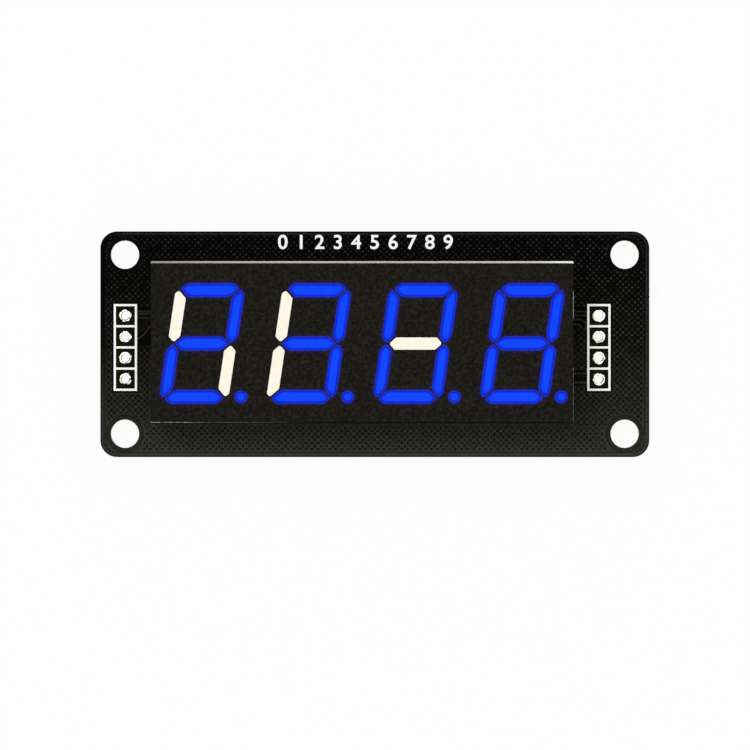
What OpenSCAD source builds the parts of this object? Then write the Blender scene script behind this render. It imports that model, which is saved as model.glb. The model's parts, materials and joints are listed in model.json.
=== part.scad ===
// Four-digit seven segment display module: an LED display soldered to a circuit board
// that carries a driver chip on its rear, a header row at each end and four screw holes.
// Millimetres. +Z points out of the display's face, +X to the right and +Y to the digits' top.
// The origin is the centre of the board's outline, at the level of the display pins' tips.

/* [Digits] */
// Height of a digit
digit_h = 14.2; // [12.5:0.1:15]
// Distance between the centre lines of a digit's left and right uprights
upright_spacing = 6.85; // [6:0.05:7.2]
// Width of an upright segment
upright_w = 1.4; // [1.1:0.05:1.6]
// Thickness of a level segment
bar_w = 1.5; // [1.2:0.05:1.7]
// Lean of the digits in degrees
slant = 8.5; // [0:0.5:10]
// Clear space between two neighbouring segments
mitre_gap = 0.28; // [0.25:0.01:0.4]
// How far inside the frame's inner corner the corner mitre passes
mitre_shift = 0.01; // [0:0.01:0.2]
// Clear space between the tips of the upper and the lower upright
tip_gap = 0.3; // [0.1:0.02:0.4]
// Rounding of the segments' corners
segment_corner_r = 0.25; // [0.1:0.01:0.3]
// Diameter of a decimal point
point_d = 1.3; // [1:0.05:1.6]
// Clear space between a digit's lower right upright and its decimal point
point_gap = 0.8; // [0.5:0.02:1]
// Clear space between a decimal point and the next digit's upright
point_space = 2.35; // [1.5:0.01:3.5]

/* [Display housing] */
// Height of the display above the board
display_h = 8; // [6.5:0.1:10]
// From the upright of an end digit, at half its height, to the end of the housing
face_margin_x = 1.975; // [1.7:0.025:4]
// From the top of the digits to the long edge of the housing
face_margin_y = 2.5; // [2.2:0.05:4]
// How far the digits sit below the middle of the housing
digit_drop = 0.2; // [0:0.05:0.5]
// Rounding of the housing's upright edges
housing_corner_r = 0.15; // [0.1:0.05:0.8]
// Thickness of the black face layer
face_layer_t = 0.15; // [0.1:0.01:0.3]
// White strip left bare along the top edge of the face
bare_top = 0.24; // [0.1:0.02:0.5]
// White strip left bare along the other edges of the face
bare_edge = 0.06; // [0.04:0.01:0.3]
// Wall round the recess in the housing's rear
housing_wall = 0.7; // [0.5:0.05:0.9]
// Depth of the recess in the housing's rear
recess_depth = 3; // [2.5:0.1:4]
// How far the cast segments lie below the face
resin_drop = 0.03; // [0.01:0.01:0.1]

/* [LED carrier] */
// Thickness of the LED carrier board
carrier_t = 1; // [0.6:0.1:1.2]
// Space between the carrier's edge and the recess wall
carrier_gap = 0.1; // [0.05:0.01:0.3]
// Side of a square LED chip
led_side = 0.36; // [0.25:0.01:0.5]
// Thickness of an LED chip
led_t = 0.12; // [0.08:0.01:0.2]
// Depth of the resin backfill's face inside the housing's rear edge
backfill_drop = 0.3; // [0.1:0.05:0.6]

/* [Display pins] */
// Diameter of a display pin
pin_d = 0.5; // [0.4:0.02:0.6]
// Distance from one pin to the next in a row
pin_pitch = 2.54; // [2.4:0.02:2.6]
// From the long edge of the housing to the pin row beside it
pin_row_inset = 1.98; // [1.8:0.02:2.4]
// How far the trimmed pins stand out past the driver chip's face
pin_past_chip = 0.35; // [0.1:0.05:1.5]
// Space between a display pin and the wall of its plated hole
pin_hole_gap = 0.2; // [0.1:0.01:0.25]
// Width of the ring of copper round a display pin's hole
pin_ring_w = 0.4; // [0.25:0.01:0.45]
// Height of a solder joint on the board's rear
solder_h = 1.2; // [0.6:0.05:1.6]

/* [Circuit board] */
// Thickness of the board
board_t = 1.6; // [1:0.1:2]
// Rounding of the board's corners
board_corner_r = 2; // [1:0.1:2.5]
// Board showing to the left of the display
margin_left = 6.3; // [6:0.1:12]
// Board showing to the right of the display
margin_right = 9.3; // [9:0.1:16]
// Board showing above the display
margin_top = 3.7; // [3.5:0.1:8]
// Board showing below the display
margin_bottom = 4.2; // [3.5:0.1:8]
// Diameter of a screw hole
screw_hole_d = 3.4; // [2.2:0.1:3.6]
// From the board's end to a screw hole's centre
screw_inset_x = 2.95; // [2.6:0.05:4]
// From the board's long edge to a screw hole's centre
screw_inset_y = 2.8; // [2.6:0.05:3.5]

/* [Header rows] */
// Distance from one header hole to the next
header_pitch = 2.54; // [2.4:0.02:2.6]
// Diameter of a plated header hole
header_hole_d = 1; // [0.8:0.02:1.1]
// Width of the ring of copper round a header hole
header_ring_w = 0.25; // [0.2:0.01:0.4]
// From the board's left end to the left header row
left_header_inset = 3; // [2.4:0.05:3.4]
// From the board's right end to the right header row
right_header_inset = 6.05; // [2.4:0.05:6.2]
// How far the header rows' middle lies below the board's middle
header_drop = 0.38; // [0:0.02:0.6]
// Width of a printed line
print_line_w = 0.26; // [0.2:0.02:0.36]
// Thickness of the plating and the copper pads
plating_t = 0.05; // [0.03:0.01:0.08]
// Thickness of the white print
print_t = 0.03; // [0.02:0.01:0.06]

/* [Driver chip] */
// From an end lead's centre to the end of the chip's body
chip_end = 0.685; // [0.5:0.005:1]
// Width of the chip's body
chip_w = 7.5; // [7:0.1:8]
// Thickness of the chip's body
chip_t = 2.25; // [1.8:0.05:2.3]
// Space between the chip's body and the board
chip_standoff = 0.15; // [0.05:0.01:0.25]
// How far the chip's sides draw in from the parting band
chip_draft = 0.16; // [0.05:0.01:0.3]
// Distance from one lead to the next
lead_pitch = 1.27; // [1.2:0.01:1.3]
// Leads on each side of the chip
leads_per_side = 10; // [8:1:10]
// Width of a lead
lead_w = 0.42; // [0.3:0.02:0.5]
// Thickness of a lead
lead_t = 0.25; // [0.15:0.01:0.3]
// How far the tips of the leads stand out past the chip's side
lead_reach = 1.4; // [1.2:0.05:1.6]
// Length of a lead's foot
lead_foot = 0.7; // [0.5:0.05:0.9]
// Length of a lead's level shoulder beside the body
lead_shoulder = 0.25; // [0.15:0.01:0.35]

/* [Small parts] */
// Length of the bulk capacitor
bulk_l = 3.2; // [2.8:0.1:3.6]
// Width of the bulk capacitor
bulk_w = 1.6; // [1.2:0.1:2]
// Height of the bulk capacitor
bulk_h = 1.5; // [0.8:0.05:1.8]
// Length of a small capacitor or resistor
small_l = 1.6; // [1.4:0.05:2]
// Width of a small capacitor or resistor
small_w = 0.8; // [0.6:0.05:1]
// Height of a small capacitor
capacitor_h = 0.8; // [0.5:0.05:1]
// Height of a resistor
resistor_h = 0.45; // [0.3:0.05:0.6]
// Length of the metal end of a small part
terminal_l = 0.35; // [0.25:0.01:0.5]
// How far a pad reaches out past its part or lead
pad_reach = 0.45; // [0.3:0.05:0.6]
// Space between the chip's area and the small parts beside it
part_column_gap = 3.2; // [2:0.1:5]
// Distance from one small part to the next in its column
part_row_pitch = 3; // [2.8:0.1:3.4]

/* [Hidden] */
$fn = 48;
DIGITS = [1, 2, 3, 4];
LETTERS = ["a", "b", "c", "d", "e", "f", "g"];
HEADER_HOLES = 4;
PINS_PER_ROW = 6;

// Steps in the arc of a rounded segment corner
corner_steps = 2;
// Gap between a cast piece and the wall that it was cast against
cast_gap = 0.02;
// Gap between a pin and what it passes through
pin_gap = 0.02;
// How far a cut runs past the face that it opens
past = 1;
// How far a window's cut breaks into the recess behind it
break_in = 0.01;
// How far the tip of a bar's mitre lies below its outer edge, and how far its slope draws in
bar_tip_drop = 0.65 * bar_w / 1.5;
bar_tip_run = 0.4 * bar_w / 1.5;
// How far the tip of an upright lies in from its outer edge
upright_tip_run = 0.3 * upright_w;
// Depth and diameter of the mark at the chip's first lead
dimple_depth = 0.1;
dimple_d = 1.1;
// Share of a small part's height that its solder climbs, and of a lead's thickness
solder_climb = 0.6;
// Space between printed lines and the parts that they frame
print_gap = 0.3;

// Sizes of the driver chip
chip_l = (leads_per_side - 1) * lead_pitch + 2 * chip_end;
lead_span = chip_w + 2 * lead_reach;

// Levels, upwards from the tips of the display pins
board_rear_z = plating_t + chip_standoff + chip_t + pin_past_chip;
board_front_z = board_rear_z + board_t;
recess_floor_z = board_front_z + recess_depth;
carrier_rear_z = recess_floor_z - carrier_t;
face_z = board_front_z + display_h;
housing_top_z = face_z - face_layer_t;

// Outlines and places
digit_w = upright_spacing + upright_w;
digit_pitch = digit_w + point_gap + point_d + point_space;
display_l = (len(DIGITS) - 1) * digit_pitch + digit_w + 2 * face_margin_x;
display_w = digit_h + 2 * face_margin_y;
pin_row_spacing = display_w - 2 * pin_row_inset;
pin_hole_d = pin_d + 2 * pin_hole_gap;
pin_pad_d = pin_hole_d + 2 * pin_ring_w;
header_pad_d = header_hole_d + 2 * header_ring_w;
board_l = display_l + margin_left + margin_right;
board_w = display_w + margin_top + margin_bottom;
display_x = (margin_left - margin_right) / 2;
display_y = (margin_bottom - margin_top) / 2;
screw_x = board_l / 2 - screw_inset_x;
screw_y = board_w / 2 - screw_inset_y;
left_header_x = left_header_inset - board_l / 2;
right_header_x = board_l / 2 - right_header_inset;
recess_l = display_l - 2 * housing_wall;
recess_w = display_w - 2 * housing_wall;
lead_level = chip_standoff + chip_t / 2;
pin_field_l = (PINS_PER_ROW - 1) * pin_pitch + pin_pad_d;
chip_area_l = max(pin_field_l, chip_l);
left_column_x = display_x - chip_area_l / 2 - part_column_gap - small_l / 2;
right_column_x = display_x + chip_area_l / 2 + part_column_gap + bulk_l / 2;

// The frame that the segments' centre lines follow
upright_x = upright_spacing / 2;
bar_y = (digit_h - bar_w) / 2;
inner_x = upright_x - upright_w / 2;
outer_x = upright_x + upright_w / 2;
inner_y = bar_y - bar_w / 2;
mitre_level = inner_y - inner_x - mitre_shift;
mitre_half = mitre_gap / sqrt(2);
point_x = outer_x + point_gap + point_d / 2;

function segment_node(n, letter) = str("digit", n, "_segment_", letter);
function point_node(n) = str("digit", n, "_point");

function unit(v) = v / norm(v);
function left_of(v) = [-v.y, v.x];
function flipped(points) = [for (i = [len(points) - 1:-1:0]) [points[i].x, -points[i].y]];
function mirrored(points) = [for (i = [len(points) - 1:-1:0]) [-points[i].x, points[i].y]];

// The points of a convex outline, each corner turned into an arc
function rounded(points, radius) = [
    for (i = [0:len(points) - 1])
        let (
            count = len(points),
            way_in = unit(points[i] - points[(i + count - 1) % count]),
            way_out = unit(points[(i + 1) % count] - points[i]),
            turn = acos(way_in * way_out),
            centre = points[i] - way_in * radius * tan(turn / 2) + left_of(way_in) * radius
        )
        for (step = [0:corner_steps])
            let (angle = atan2(way_in.y, way_in.x) - 90 + turn * step / corner_steps)
            centre + radius * [cos(angle), sin(angle)]
];

// The points of a convex outline moved inwards by a gap on every side
function drawn_in(points, gap) = [
    for (i = [0:len(points) - 1])
        let (
            count = len(points),
            before = left_of(unit(points[i] - points[(i + count - 1) % count])),
            after = left_of(unit(points[(i + 1) % count] - points[i]))
        )
        points[i] + gap * (before + after) / (1 + before * after)
];

// One side of a strip that follows a path
function beside(path, distance) = [
    for (i = [0:len(path) - 1])
        let (
            last = len(path) - 1,
            before = left_of(unit(path[max(i, 1)] - path[max(i, 1) - 1])),
            after = left_of(unit(path[min(i, last - 1) + 1] - path[min(i, last - 1)]))
        )
        path[i] + distance * (before + after) / (1 + before * after)
];

function reversed(points) = [for (i = [len(points) - 1:-1:0]) points[i]];
function strip(path, width) = concat(
    beside(path, -width / 2),
    reversed(beside(path, width / 2))
);

// The corners of the upper bar, of the upper right upright and of the middle bar
function top_bar() =
    let (
        mitre = mitre_level + mitre_half,
        foot_x = inner_y - mitre,
        tip_y = digit_h / 2 - bar_tip_drop,
        tip_x = tip_y - mitre,
        head_x = tip_x - bar_tip_run
    )
    [
        [-foot_x, inner_y], [foot_x, inner_y], [tip_x, tip_y],
        [head_x, digit_h / 2], [-head_x, digit_h / 2], [-tip_x, tip_y]
    ];

function right_upright() =
    let (
        mitre = mitre_level - mitre_half,
        tip_x = outer_x - upright_tip_run,
        foot_y = tip_gap / 2
    )
    [
        [upright_x, foot_y], [outer_x, foot_y + upright_w / 2],
        [outer_x, tip_x + mitre - upright_tip_run], [tip_x, tip_x + mitre],
        [inner_x, inner_x + mitre], [inner_x, foot_y + upright_w / 2]
    ];

function middle_bar() =
    let (
        tip_x = upright_x + tip_gap / 2 - 2 * mitre_half,
        head_x = tip_x - bar_w / 2
    )
    [
        [-tip_x, 0], [-head_x, -bar_w / 2], [head_x, -bar_w / 2],
        [tip_x, 0], [head_x, bar_w / 2], [-head_x, bar_w / 2]
    ];

function segment_corners(letter) =
    letter == "a" ? top_bar() :
    letter == "b" ? right_upright() :
    letter == "c" ? flipped(right_upright()) :
    letter == "d" ? flipped(top_bar()) :
    letter == "e" ? mirrored(flipped(right_upright())) :
    letter == "f" ? mirrored(right_upright()) :
    middle_bar();

function segment_middle(letter) =
    letter == "a" ? [0, bar_y] :
    letter == "b" ? [upright_x, bar_y / 2] :
    letter == "c" ? [upright_x, -bar_y / 2] :
    letter == "d" ? [0, -bar_y] :
    letter == "e" ? [-upright_x, -bar_y / 2] :
    letter == "f" ? [-upright_x, bar_y / 2] :
    [0, 0];

function leaning(point) = [point.x + point.y * tan(slant), point.y];
function digit_place(n) =
    [display_x + (n - (len(DIGITS) + 1) / 2) * digit_pitch, display_y - digit_drop];

module segment_outline(letter, gap = 0) {
    corners = rounded(drawn_in(segment_corners(letter), gap), segment_corner_r - gap);
    polygon([for (point = corners) leaning(point)]);
}

module point_outline(gap = 0) {
    translate(leaning([point_x, -bar_y]))
        circle(d = point_d - 2 * gap);
}

// All windows of the display, as a flat shape
module window_outlines() {
    for (n = DIGITS)
        translate(digit_place(n)) {
            for (letter = LETTERS)
                segment_outline(letter);
            point_outline();
        }
}

module led(gap = 0) {
    height = led_t + gap;
    translate([0, 0, recess_floor_z + height / 2])
        cube([led_side + 2 * gap, led_side + 2 * gap, height], center = true);
}

// A plug of cast resin, from the LED carrier up to the face
module plug(place, middle) {
    translate(place)
        difference() {
            translate([0, 0, recess_floor_z])
                linear_extrude(face_z - resin_drop - recess_floor_z)
                    children();
            translate(middle)
                led(cast_gap);
        }
}

module segment_guide(n, letter) {
    color("ivory")
        plug(digit_place(n), leaning(segment_middle(letter)))
            segment_outline(letter, cast_gap);
}

module point_guide(n) {
    color("ivory")
        plug(digit_place(n), leaning([point_x, -bar_y]))
            point_outline(cast_gap);
}

module rounded_rectangle(length, width, radius) {
    square([length - 2 * radius, width], center = true);
    square([length, width - 2 * radius], center = true);
    for (x = [-1, 1], y = [-1, 1])
        translate([x * (length / 2 - radius), y * (width / 2 - radius)])
            circle(radius);
}

// Runs its children at every pin of one row
module along_pin_row(side) {
    for (i = [0:PINS_PER_ROW - 1])
        translate([
            display_x + (i - (PINS_PER_ROW - 1) / 2) * pin_pitch,
            display_y + side * pin_row_spacing / 2
        ])
            children();
}

module at_every_pin() {
    for (side = [-1, 1])
        along_pin_row(side)
            children();
}

module pin_passages(bottom_z, top_z) {
    at_every_pin()
        translate([0, 0, bottom_z])
            cylinder(d = pin_d + 2 * pin_gap, h = top_z - bottom_z);
}

module display_housing() {
    color("white")
        difference() {
            translate([display_x, display_y, board_front_z])
                linear_extrude(display_h - face_layer_t)
                    rounded_rectangle(display_l, display_w, housing_corner_r);
            translate([display_x, display_y, board_front_z - past])
                linear_extrude(recess_depth + past)
                    square([recess_l, recess_w], center = true);
            translate([0, 0, recess_floor_z - break_in])
                linear_extrude(housing_top_z - recess_floor_z + break_in + past)
                    window_outlines();
        }
}

module face_layer() {
    layer_w = display_w - bare_top - bare_edge;
    color([0.12, 0.11, 0.09])
        translate([0, 0, housing_top_z])
            linear_extrude(face_layer_t)
                difference() {
                    translate([display_x, display_y + (bare_edge - bare_top) / 2])
                        rounded_rectangle(display_l - 2 * bare_edge, layer_w, housing_corner_r);
                    window_outlines();
                }
}

module led_carrier() {
    color("khaki")
        difference() {
            translate([display_x, display_y, carrier_rear_z])
                linear_extrude(carrier_t)
                    square([recess_l - 2 * carrier_gap, recess_w - 2 * carrier_gap], center = true);
            pin_passages(carrier_rear_z - past, recess_floor_z + past);
        }
}

module led_chips() {
    color("gold")
        for (n = DIGITS)
            translate(digit_place(n)) {
                for (letter = LETTERS)
                    translate(leaning(segment_middle(letter)))
                        led();
                translate(leaning([point_x, -bar_y]))
                    led();
            }
}

module resin_backfill() {
    bottom_z = board_front_z + backfill_drop;
    color("wheat")
        difference() {
            translate([display_x, display_y, bottom_z])
                linear_extrude(carrier_rear_z - bottom_z)
                    square([recess_l - 2 * cast_gap, recess_w - 2 * cast_gap], center = true);
            pin_passages(bottom_z - past, carrier_rear_z + past);
        }
}

module display_pin() {
    cylinder(d = pin_d, h = recess_floor_z);
}

module display_pins_upper_row() {
    color("silver")
        along_pin_row(1)
            display_pin();
}

module display_pins_lower_row() {
    color("silver")
        along_pin_row(-1)
            display_pin();
}

// A display pin's pad: a ring on the board's rear with a barrel through the board
module barrel_pad() {
    difference() {
        union() {
            translate([0, 0, board_rear_z - plating_t])
                cylinder(d = pin_pad_d, h = plating_t);
            translate([0, 0, board_rear_z])
                cylinder(d = pin_hole_d + 2 * plating_t, h = board_t);
        }
        translate([0, 0, board_rear_z - past])
            cylinder(d = pin_hole_d, h = board_t + 2 * past);
    }
}

module display_pin_pads() {
    color("gainsboro")
        at_every_pin()
            barrel_pad();
}

// Solder that fills a display pin's hole and climbs the pin in a hollow cone
module solder_joint() {
    inner_r = pin_d / 2 + pin_gap;
    hole_r = pin_hole_d / 2;
    foot_r = 0.85 * pin_pad_d / 2;
    foot_z = board_rear_z - plating_t;
    tip_r = inner_r + 0.08;
    steps = 4;
    rise = [for (i = [0:steps])
        let (angle = 90 * i / steps)
        [tip_r + (foot_r - tip_r) * (1 - sin(angle)), foot_z - solder_h * (1 - cos(angle))]
    ];
    rotate_extrude()
        polygon(concat(
            [[inner_r, board_front_z], [inner_r, foot_z - solder_h]],
            reversed(rise),
            [[hole_r, foot_z], [hole_r, board_front_z]]
        ));
}

module display_solder_joints() {
    color("lightgray")
        at_every_pin()
            solder_joint();
}

// Runs its children at every hole of a header row
module along_header(x) {
    for (i = [0:HEADER_HOLES - 1])
        translate([x, (i - (HEADER_HOLES - 1) / 2) * header_pitch - header_drop])
            children();
}

module circuit_board() {
    color([0.06, 0.06, 0.06])
        difference() {
            translate([0, 0, board_rear_z])
                linear_extrude(board_t)
                    rounded_rectangle(board_l, board_w, board_corner_r);
            translate([0, 0, board_rear_z - past]) {
                for (x = [-screw_x, screw_x], y = [-screw_y, screw_y])
                    translate([x, y])
                        cylinder(d = screw_hole_d, h = board_t + 2 * past);
                for (x = [left_header_x, right_header_x])
                    along_header(x)
                        cylinder(d = header_hole_d, h = board_t + 2 * past);
                at_every_pin()
                    cylinder(d = pin_hole_d + 2 * plating_t, h = board_t + 2 * past);
            }
        }
}

// The printed frame of cells round a header row
module header_frame() {
    length = HEADER_HOLES * header_pitch;
    difference() {
        square([header_pitch + print_line_w, length + print_line_w], center = true);
        for (i = [0:HEADER_HOLES - 1])
            translate([0, (i - (HEADER_HOLES - 1) / 2) * header_pitch])
                square(header_pitch - print_line_w, center = true);
    }
}

module header_frames() {
    for (x = [left_header_x, right_header_x])
        translate([x, -header_drop])
            header_frame();
}

module front_print() {
    color("white")
        translate([0, 0, board_front_z])
            linear_extrude(print_t)
                header_frames();
}

// The printed bars beside the long sides of a small part
module part_print(length, width) {
    for (side = [-1, 1])
        translate([0, side * (width / 2 + print_gap + print_line_w / 2)])
            square([length, print_line_w], center = true);
}

// The printed bars at the ends of the chip and the dot at its first lead
module chip_print() {
    for (side = [-1, 1])
        translate([side * (chip_l / 2 + print_gap), 0])
            square([print_line_w, chip_w], center = true);
    translate([-chip_l / 2 - print_gap, lead_span / 2])
        circle(d = 2 * print_line_w);
}

module rear_print() {
    color("white")
        translate([0, 0, board_rear_z - print_t])
            linear_extrude(print_t) {
                header_frames();
                translate([display_x, display_y])
                    chip_print();
                for (row = [0:3])
                    translate(left_place(row))
                        part_print(small_l, small_w);
                translate(right_place(0))
                    part_print(bulk_l, bulk_w);
                translate(right_place(1))
                    part_print(small_l, small_w);
            }
}

// The rings of copper on both faces of the board round every hole of a header row
module header_rings(x) {
    along_header(x)
        for (z = [board_rear_z - plating_t, board_front_z])
            translate([0, 0, z])
                linear_extrude(plating_t)
                    difference() {
                        circle(d = header_pad_d);
                        circle(d = header_hole_d);
                    }
}

module left_header_pads() {
    color("silver")
        header_rings(left_header_x);
}

module right_header_pads() {
    color("silver")
        header_rings(right_header_x);
}

// Turns what is drawn upwards from a board's surface so that it hangs from the rear pads
module on_rear(place) {
    translate([place.x, place.y, board_rear_z - plating_t])
        rotate([180, 0, 0])
            children();
}

function left_place(row) = [left_column_x, display_y + (row - 1.5) * part_row_pitch];
function right_place(row) = [right_column_x, display_y + (row - 0.5) * part_row_pitch];

// The side view of a moulded body: a straight band at mid-height and drawn-in faces
function moulded_profile(width) = [
    [-width / 2 + chip_draft, chip_standoff], [width / 2 - chip_draft, chip_standoff],
    [width / 2, lead_level - lead_t], [width / 2, lead_level + lead_t],
    [width / 2 - chip_draft, chip_standoff + chip_t],
    [-width / 2 + chip_draft, chip_standoff + chip_t],
    [-width / 2, lead_level + lead_t], [-width / 2, lead_level - lead_t]
];

module driver_chip() {
    color([0.13, 0.13, 0.14])
        on_rear([display_x, display_y])
            difference() {
                intersection() {
                    rotate([90, 0, 0])
                        linear_extrude(chip_w, center = true)
                            polygon(moulded_profile(chip_l));
                    rotate([90, 0, 90])
                        linear_extrude(chip_l, center = true)
                            polygon(moulded_profile(chip_w));
                }
                translate([
                    -chip_l / 2 + chip_draft + dimple_d,
                    -chip_w / 2 + chip_draft + dimple_d,
                    chip_standoff + chip_t - dimple_depth
                ])
                    cylinder(d = dimple_d, h = dimple_depth + past);
            }
}

// Runs its children at every lead, turned so that +Y points out of the chip
module at_every_lead() {
    for (turn = [0, 180], i = [0:leads_per_side - 1])
        rotate([0, 0, turn])
            translate([(i - (leads_per_side - 1) / 2) * lead_pitch, 0, 0])
                children();
}

module driver_chip_leads() {
    path = [
        [chip_w / 2, lead_level],
        [chip_w / 2 + lead_shoulder, lead_level],
        [lead_span / 2 - lead_foot, lead_t / 2],
        [lead_span / 2, lead_t / 2]
    ];
    color("silver")
        on_rear([display_x, display_y])
            at_every_lead()
                rotate([90, 0, 90])
                    linear_extrude(lead_w, center = true)
                        polygon(strip(path, lead_t));
}

module part_body(place, length, width, height) {
    on_rear(place)
        translate([0, 0, height / 2])
            cube([length - 2 * terminal_l, width, height], center = true);
}

module bulk_capacitor() {
    color("tan")
        part_body(right_place(0), bulk_l, bulk_w, bulk_h);
}

module bypass_capacitor() {
    color("tan")
        part_body(right_place(1), small_l, small_w, capacitor_h);
}

module clock_capacitor() {
    color("tan")
        part_body(left_place(0), small_l, small_w, capacitor_h);
}

module data_capacitor() {
    color("tan")
        part_body(left_place(1), small_l, small_w, capacitor_h);
}

module clock_pull_up_resistor() {
    color("black")
        part_body(left_place(2), small_l, small_w, resistor_h);
}

module data_pull_up_resistor() {
    color("black")
        part_body(left_place(3), small_l, small_w, resistor_h);
}

// Runs one shape for every small part, at its place and with its sizes in the special variables
module for_every_part() {
    for (row = [0:3])
        on_rear(left_place(row))
            let ($length = small_l, $width = small_w, $height = row < 2 ? capacitor_h : resistor_h)
                children();
    on_rear(right_place(0))
        let ($length = bulk_l, $width = bulk_w, $height = bulk_h)
            children();
    on_rear(right_place(1))
        let ($length = small_l, $width = small_w, $height = capacitor_h)
            children();
}

module small_part_terminals() {
    color("silver")
        for_every_part()
            for (side = [-1, 1])
                translate([side * ($length - terminal_l) / 2, 0, $height / 2])
                    cube([terminal_l, $width, $height], center = true);
}

module surface_mount_pads() {
    foot = lead_foot + pad_reach;
    color("gainsboro") {
        for_every_part()
            for (side = [-1, 1])
                translate([side * ($length - terminal_l + pad_reach) / 2, 0, -plating_t / 2])
                    cube([terminal_l + pad_reach, $width, plating_t], center = true);
        on_rear([display_x, display_y])
            at_every_lead()
                translate([0, lead_span / 2 - lead_foot + foot / 2, -plating_t / 2])
                    cube([lead_w, foot, plating_t], center = true);
    }
}

// A wedge of solder that lies on a pad and climbs the face at y = 0
module solder_wedge(width, height) {
    rotate([90, 0, 90])
        linear_extrude(width, center = true)
            polygon([[0, 0], [pad_reach, 0], [pad_reach / 3, height / 4], [0, height]]);
}

module surface_mount_solder() {
    color("lightgray") {
        for_every_part()
            for (turn = [-90, 90])
                rotate([0, 0, turn])
                    translate([0, $length / 2, 0])
                        solder_wedge($width, solder_climb * $height);
        on_rear([display_x, display_y])
            at_every_lead()
                translate([0, lead_span / 2, 0])
                    solder_wedge(lead_w, solder_climb * lead_t);
    }
}

for (n = DIGITS) {
    for (letter = LETTERS)
        segment_guide(n, letter);
    point_guide(n);
}
display_housing();
face_layer();
led_carrier();
led_chips();
resin_backfill();
display_pins_upper_row();
display_pins_lower_row();
display_pin_pads();
display_solder_joints();
circuit_board();
front_print();
rear_print();
left_header_pads();
right_header_pads();
driver_chip();
driver_chip_leads();
bulk_capacitor();
bypass_capacitor();
clock_capacitor();
data_capacitor();
clock_pull_up_resistor();
data_pull_up_resistor();
small_part_terminals();
surface_mount_pads();
surface_mount_solder();
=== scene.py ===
"""Looks of the four-digit seven segment display module.

Every CAD node gets its material here. The board's copper relief, tracks, numerals and the tinning of
its header holes are pieces of their own. Lengths are written in millimetres and built in metres.
"""

import json
import math
import random

import bpy
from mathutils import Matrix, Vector
from mathutils.geometry import delaunay_2d_cdt

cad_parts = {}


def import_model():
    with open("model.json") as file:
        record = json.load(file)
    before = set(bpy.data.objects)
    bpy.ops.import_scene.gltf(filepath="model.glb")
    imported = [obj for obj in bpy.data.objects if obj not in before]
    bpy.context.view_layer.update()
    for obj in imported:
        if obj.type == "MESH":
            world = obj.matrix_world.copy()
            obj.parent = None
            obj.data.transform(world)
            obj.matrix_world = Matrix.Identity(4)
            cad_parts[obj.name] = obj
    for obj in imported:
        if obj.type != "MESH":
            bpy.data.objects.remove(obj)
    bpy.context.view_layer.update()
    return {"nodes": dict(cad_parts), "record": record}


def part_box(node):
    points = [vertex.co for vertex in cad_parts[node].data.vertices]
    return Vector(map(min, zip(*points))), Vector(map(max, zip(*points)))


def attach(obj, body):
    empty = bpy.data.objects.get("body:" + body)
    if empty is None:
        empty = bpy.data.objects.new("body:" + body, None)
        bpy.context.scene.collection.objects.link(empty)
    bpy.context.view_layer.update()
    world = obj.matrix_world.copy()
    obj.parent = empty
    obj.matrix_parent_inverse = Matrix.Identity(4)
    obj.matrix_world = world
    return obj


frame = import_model()

MM = 0.001
TO_MM = 1000.0


def box_mm(node):
    low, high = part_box(node)
    return low * TO_MM, high * TO_MM


def middle(node):
    low, high = box_mm(node)
    return (low + high) / 2


# Places and sizes that the frame gives
MOUNTS = {mount["name"]: mount for mount in frame["record"]["mounts"]}
BOARD_LOW, BOARD_HIGH = box_mm("circuit_board")
HOUSING_LOW, HOUSING_HIGH = box_mm("display_housing")
PADS_LOW, PADS_HIGH = box_mm("left_header_pads")
PIN_ROW_LOW, PIN_ROW_HIGH = box_mm("display_pins_upper_row")
FRONT_Z, REAR_Z = BOARD_HIGH.z, BOARD_LOW.z
DISPLAY = (HOUSING_LOW + HOUSING_HIGH) / 2
SCREW_X = MOUNTS["screw_holes"]["dims"]["spacing_x_mm"] / 2
SCREW_Y = MOUNTS["screw_holes"]["dims"]["spacing_y_mm"] / 2
HEADER_HOLE_R = MOUNTS["left_header_top_hole"]["dims"]["r_mm"]
HEADER_COUNT = 4
HEADER_HALF = (HEADER_COUNT - 1) / 2
TOP_HOLE_Y_M = MOUNTS["left_header_top_hole"]["pos_m"][1]
PITCH = (TOP_HOLE_Y_M - middle("left_header_pads").y * MM) * TO_MM / HEADER_HALF
HEADER_X = [middle("left_header_pads").x, middle("right_header_pads").x]
HEADER_Y = [middle("left_header_pads").y + (HEADER_HALF - i) * PITCH for i in range(HEADER_COUNT)]
HEADER_PAD_R = (PADS_HIGH.x - PADS_LOW.x) / 2

# Sizes that scene.py repeats from the part's source
BOARD_CORNER_R = 2.0
PLATING_T = 0.05
PRINT_T = 0.03
DIGIT_H, DIGIT_PITCH, SLANT = 14.2, 12.7, 8.5
UPRIGHT_X, UPRIGHT_W, BAR_W = 3.425, 1.4, 1.5
MITRE_GAP, MITRE_SHIFT, TIP_GAP = 0.28, 0.01, 0.3
BAR_TIP_DROP, UPRIGHT_TIP_RUN = 0.65, 0.3 * UPRIGHT_W
POINT_D, POINT_X = 1.3, 5.575
DIGIT_DROP = 0.2
DIGITS_Y = DISPLAY.y - DIGIT_DROP
BARE_TOP = 0.24

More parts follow.
